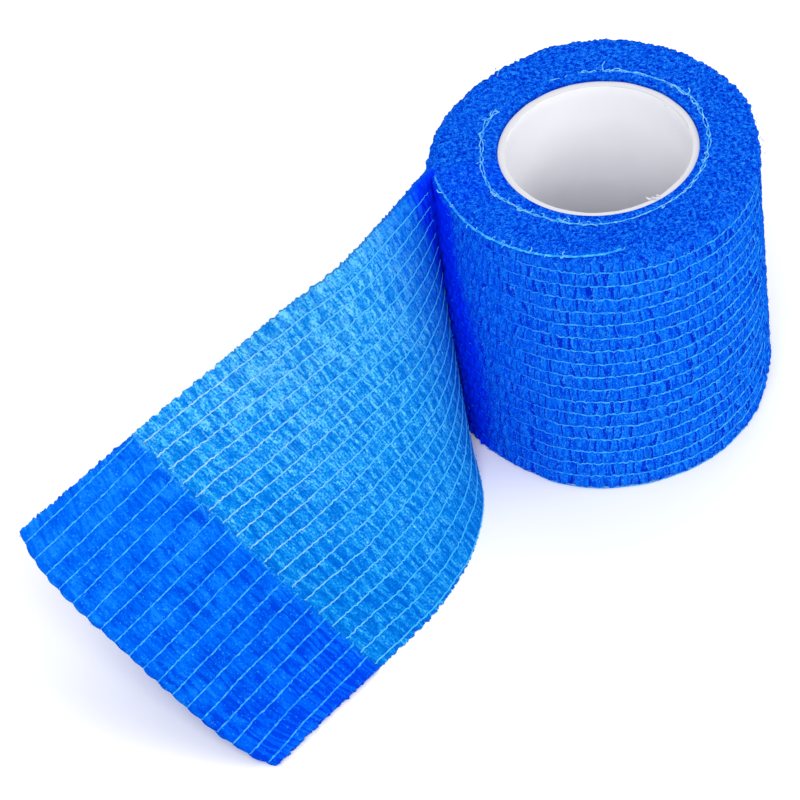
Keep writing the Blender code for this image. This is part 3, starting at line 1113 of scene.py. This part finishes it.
def makeFrays(ringThread, edgeThread):
    draw = random.Random(11)
    lines = [pulledThread(fray["ring"], ringPoint, strand) for strand in (0, 1)]
    edges = [pulledThread(fray["edge"], edgePoint, strand) for strand in (0, 1)]
    # short ends that stand out of the pulled threads
    for i in range(fray["shortEnds"]):
        table = fray["ring"] if i % 5 else fray["edge"]
        angle = draw.uniform(table[0][0], table[-1][0])
        if table is fray["ring"] and i % 2:
            angle = draw.choice([draw.uniform(*span) for span in ((205, 262), (205, 262), (148, 166))])
        radius = readTable(table, angle)
        turn = draw.uniform(0, 2 * math.pi)
        bend = draw.uniform(-2.4, 2.4)
        points = []
        for j in range(6):
            points.append((onEndFace(angle, radius, 0.14 + 0.06 * j), 0.8))
            turn += bend * 0.4
            angle += math.degrees(fray["endStep"] * math.cos(turn) / radius)
            radius += fray["endStep"] * math.sin(turn)
        lines.append(points)
    lines += [[(onEndFace(*place), 0.95) for place in stray] for stray in fray["strays"]]
    addThreads("edgeThread", edges, fray["edgeRadius"], edgeThread)
    addThreads("frayedThreads", lines, fray["radius"], ringThread)


# the core tube
core = {
    "offset": (0.15, 0.19),  # its axis from the roll's
    "radius": 15.95,
    "wall": 1.2,
    "length": 49.6,
    "columns": 144,
    "rimBevel": 0.16,
    "burrs": ((254, 15.2, 0.5), (274.5, 15.4, 0.55), (297, 14.4, 1.1), (300.5, 15, 1.4),
              (303, 14.6, 0.8), (35, 14.5, 0.4)),
}


def makeCoreTube(material):
    tube = addTube("coreTube", core["columns"], core["radius"], core["wall"], core["length"])

    def onRim(edge):
        low, high = edgeEnds(edge)
        level = abs(low.z - high.z) < 1e-6
        return level and abs(low.xy.length - high.xy.length) < 0.2 * mm

    selectParts("EDGE", onRim)
    bpy.ops.mesh.bevel(offset=core["rimBevel"] * mm, segments=3, affect="EDGES")
    selectParts("EDGE", uprightEdges(core["length"]))
    bpy.ops.mesh.subdivide(number_cuts=24)
    bpy.ops.object.mode_set(mode="OBJECT")
    # sawn rims aren't quite level, and the wall isn't quite round
    for vertex in tube.data.vertices:
        co = vertex.co / mm
        angle = math.atan2(co.y, co.x)
        x, y = 3 * math.cos(angle), 3 * math.sin(angle)
        flat = co.xy.length
        wave = 0.05 * tremble(x, y, co.z / 20)
        if flat < core["radius"] - core["wall"] / 2:
            wave += 0.05 * tremble(x * 3, y * 3, co.z / 2)
            wave += 0.03 * math.sin(co.z * 2.2 + angle)
        level = smooth(co.z - core["length"] + 1)
        co.z += 0.10 * level * tremble(x * 1.6, y * 1.6, 40)
        co.xy = co.xy * (1 + wave / flat) + Vector(core["offset"])
        vertex.co = onRoll(co)
    addBurrs(tube)
    settle(tube, material, "core_tube", 35)


def addBurrs(tube):
    # small shavings left on the sawn rim
    made = []
    for angle, radius, size in core["burrs"]:
        place = onRoll(Vector((*polar(angle, radius), core["length"])))
        selectNothing()
        bpy.ops.mesh.primitive_ico_sphere_add(subdivisions=2, radius=0.5 * size * mm, location=place)
        flake = bpy.context.object
        bpy.ops.transform.resize(value=(1, 0.45, 0.4))
        turn = -math.radians(angle) - 0.4
        bpy.ops.transform.rotate(value=turn, orient_axis="Z", center_override=place)
        bpy.ops.object.transform_apply(location=True, rotation=True, scale=True)
        for vertex in flake.data.vertices:
            co = vertex.co / mm
            vertex.co += Vector((tremble(co.x * 2, co.y * 2, co.z), tremble(co.y * 2, co.z, co.x),
                                 tremble(co.z, co.x * 2, 4))) * (0.3 * size * mm)
        made.append(flake)
    pick(tube, *made)
    bpy.ops.object.join()


# the fuzz: how many single fibres stand out of the cloth
fuzz = {
    "radius": 0.045,
    "onEnds": 520,
    "onSide": 620,
    "onLoose": 520,
}


def fibre(draw, place, out, length):
    # a short bent fibre that starts in the cloth
    side = Vector([draw.gauss(0, 1) for _ in range(3)])
    side = (side - out * side.dot(out)).normalized()
    lean = draw.uniform(0.3, 1.4)
    points = []
    for j in range(4):
        t = j / 3
        rise = out * (length * (0.2 + 0.6 * t - 0.45 * t * t * lean))
        points.append((place + rise + side * (length * t * lean * 0.7), 1 - 0.6 * t))
    return points


def makeFuzz(material):
    draw = random.Random(29)
    lines = []
    for _ in range(fuzz["onEnds"]):
        angle = draw.uniform(0, 360)
        radius = draw.uniform(wound["boreRadius"] + 0.5, wound["topRadius"] + 0.2)
        lines.append(fibre(draw, onEndFace(angle, radius, -0.05), Vector((0, 0, 1)), draw.uniform(0.4, 0.9)))
    for _ in range(fuzz["onSide"]):
        u = draw.uniform(-turnLength + 6, -0.5)
        v = draw.uniform(0.5, strip["width"] - 0.4)
        place = outerPoint(u, v, -0.05)
        out = Vector((place.x, place.y, 0)).normalized()
        lines.append(fibre(draw, place, out, draw.uniform(0.35, 0.8)))
    for i in range(fuzz["onLoose"]):
        u = draw.uniform(3, stripEnd - 0.5)
        v = draw.choice((0.3, strip["width"] - 0.2)) if i % 2 else draw.uniform(0.5, strip["width"] - 0.5)
        if i % 3 and u < coverStart:
            place, out = innerPoint(u, v, -0.04), looseFace(u, v / strip["width"])[2]
        else:
            place, onwards = outerPoint(u, v, -0.04), outerPoint(u, v, 0.5)
            out = (onwards - place).normalized()
        lines.append(fibre(draw, place, out, draw.uniform(0.35, 0.8)))
    addThreads("clothFuzz", lines, fuzz["radius"], material)


setCamera()
setLights()
bpy.ops.mesh.primitive_plane_add(size=studio["floorSize"], location=(0, 0, 0))
floor = nameObject("floor")
floor.data.materials.append(floorFinish())
print("camera, light and floor are set")

makeWoundRoll(woundCloth())
looseEnd = makeLooseEnd(looseCloth())
finishes = {name: threadFinish(name, *colors) for name, colors in threadColors.items()}
onLoose = makeThreads(finishes)
makeFrays(finishes["frayedThread"], finishes["rollThread"])
makeFuzz(finishes["clothFibre"])
makeCoreTube(tubeFinish())
